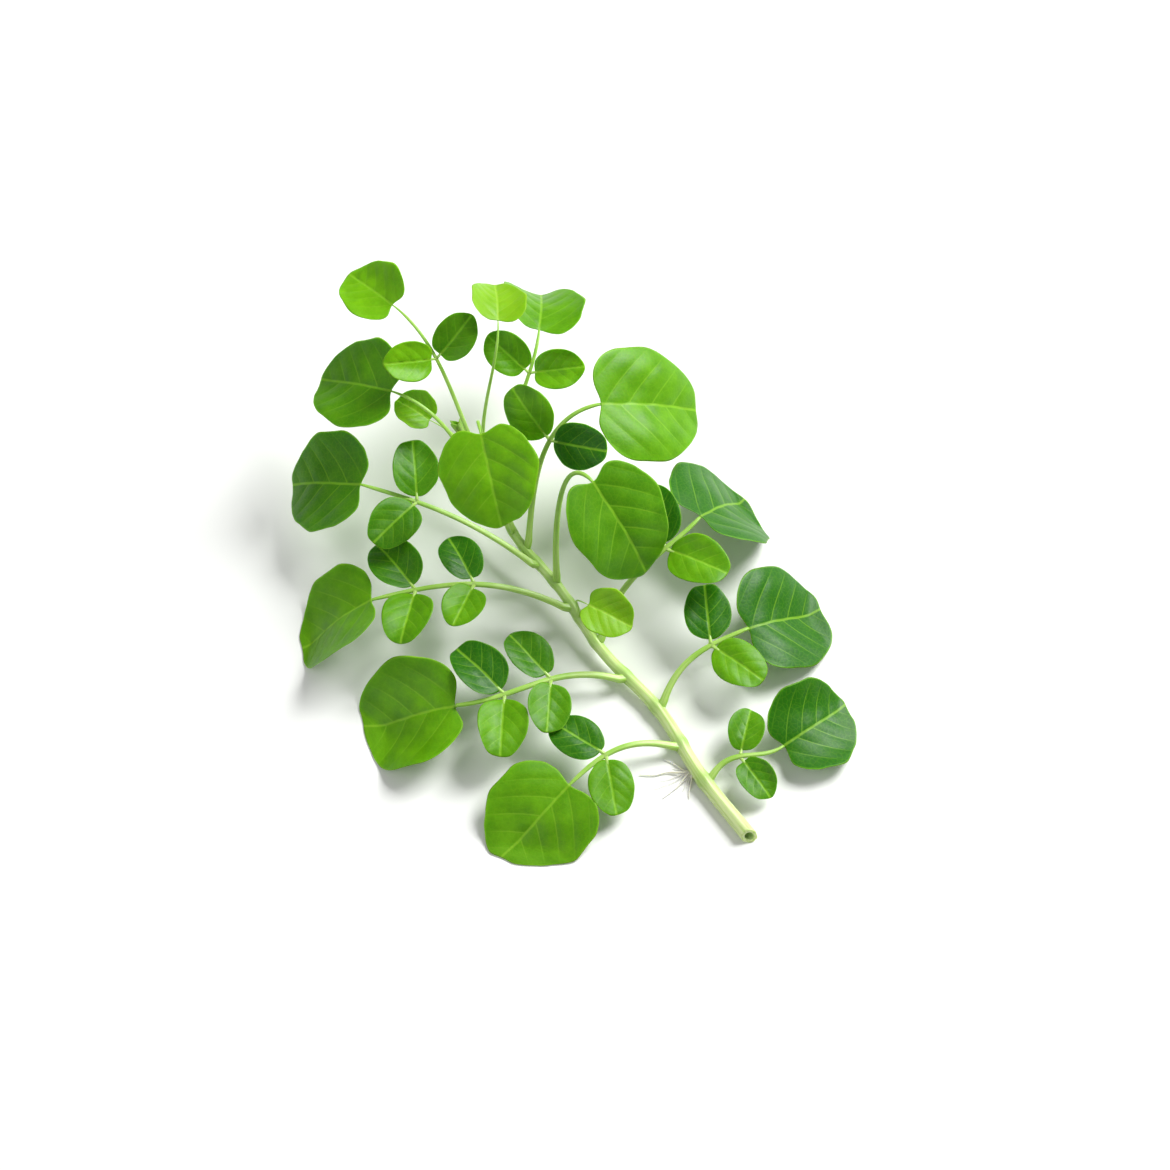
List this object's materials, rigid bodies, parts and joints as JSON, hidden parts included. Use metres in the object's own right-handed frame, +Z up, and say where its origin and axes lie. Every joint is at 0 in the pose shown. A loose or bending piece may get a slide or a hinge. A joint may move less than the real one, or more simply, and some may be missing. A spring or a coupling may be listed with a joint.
{
  "type": "cut watercress sprig",
  "caption": "Cut sprig of watercress lying flat: a hollow pale stem, rooted at its lowest node, with stalked pinnate leaves of rounded glossy green leaflets up to a leafy tip",
  "frame": {"origin": "the middle of the sprig's footprint, on the surface it lies on", "axes": "+Z is up from the surface; the cut end of the stem points towards +X -Y and the growing tip towards -X +Y"},
  "size_m": [0.142, 0.1508, 0.0515],
  "materials": {
    "stem": "smooth, faintly ridged and waxy",
    "stalk": "smooth and waxy",
    "end_leaflet": "satin, waxy, with fine veins",
    "side_leaflet": "satin, waxy, with fine veins",
    "young_leaf": "satin, tender",
    "root": "moist, smooth"
  },
  "bodies": {
    "root": {"growing_tip": "young_leaf", "leaf_10_end_leaflet": "end_leaflet", "leaf_10_left_leaflet_1": "side_leaflet", "leaf_10_rachis": "stalk", "leaf_10_right_leaflet_1": "side_leaflet", "leaf_11_end_leaflet": "end_leaflet", "leaf_11_rachis": "stalk", "leaf_12_end_leaflet": "end_leaflet", "leaf_12_rachis": "stalk", "leaf_13_end_leaflet": "end_leaflet", "leaf_13_left_leaflet_1": "side_leaflet", "leaf_13_rachis": "stalk", "leaf_13_right_leaflet_1": "side_leaflet", "leaf_14_end_leaflet": "end_leaflet", "leaf_14_left_leaflet_1": "side_leaflet", "leaf_14_rachis": "stalk", "leaf_14_right_leaflet_1": "side_leaflet", "leaf_15_end_leaflet": "young_leaf", "leaf_15_rachis": "stalk", "leaf_16_end_leaflet": "young_leaf", "leaf_16_rachis": "stalk", "leaf_1_end_leaflet": "end_leaflet", "leaf_1_left_leaflet_1": "side_leaflet", "leaf_1_rachis": "stalk", "leaf_1_right_leaflet_1": "side_leaflet", "leaf_2_end_leaflet": "end_leaflet", "leaf_2_left_leaflet_1": "side_leaflet", "leaf_2_rachis": "stalk", "leaf_2_right_leaflet_1": "side_leaflet", "leaf_3_end_leaflet": "end_leaflet", "leaf_3_left_leaflet_1": "side_leaflet", "leaf_3_rachis": "stalk", "leaf_3_right_leaflet_1": "side_leaflet", "leaf_4_end_leaflet": "end_leaflet", "leaf_4_left_leaflet_1": "side_leaflet", "leaf_4_left_leaflet_2": "side_leaflet", "leaf_4_rachis": "stalk", "leaf_4_right_leaflet_1": "side_leaflet", "leaf_4_right_leaflet_2": "side_leaflet", "leaf_5_end_leaflet": "end_leaflet", "leaf_5_left_leaflet_1": "side_leaflet", "leaf_5_rachis": "stalk", "leaf_5_right_leaflet_1": "side_leaflet", "leaf_6_end_leaflet": "young_leaf", "leaf_6_rachis": "stalk", "leaf_7_end_leaflet": "end_leaflet", "leaf_7_left_leaflet_1": "side_leaflet", "leaf_7_left_leaflet_2": "side_leaflet", "leaf_7_rachis": "stalk", "leaf_7_right_leaflet_1": "side_leaflet", "leaf_7_right_leaflet_2": "side_leaflet", "leaf_8_end_leaflet": "end_leaflet", "leaf_8_rachis": "stalk", "leaf_9_end_leaflet": "end_leaflet", "leaf_9_left_leaflet_1": "side_leaflet", "leaf_9_rachis": "stalk", "leaf_9_right_leaflet_1": "side_leaflet", "main_stem": "stem", "rootlets": "root"}
  },
  "joints": []
}
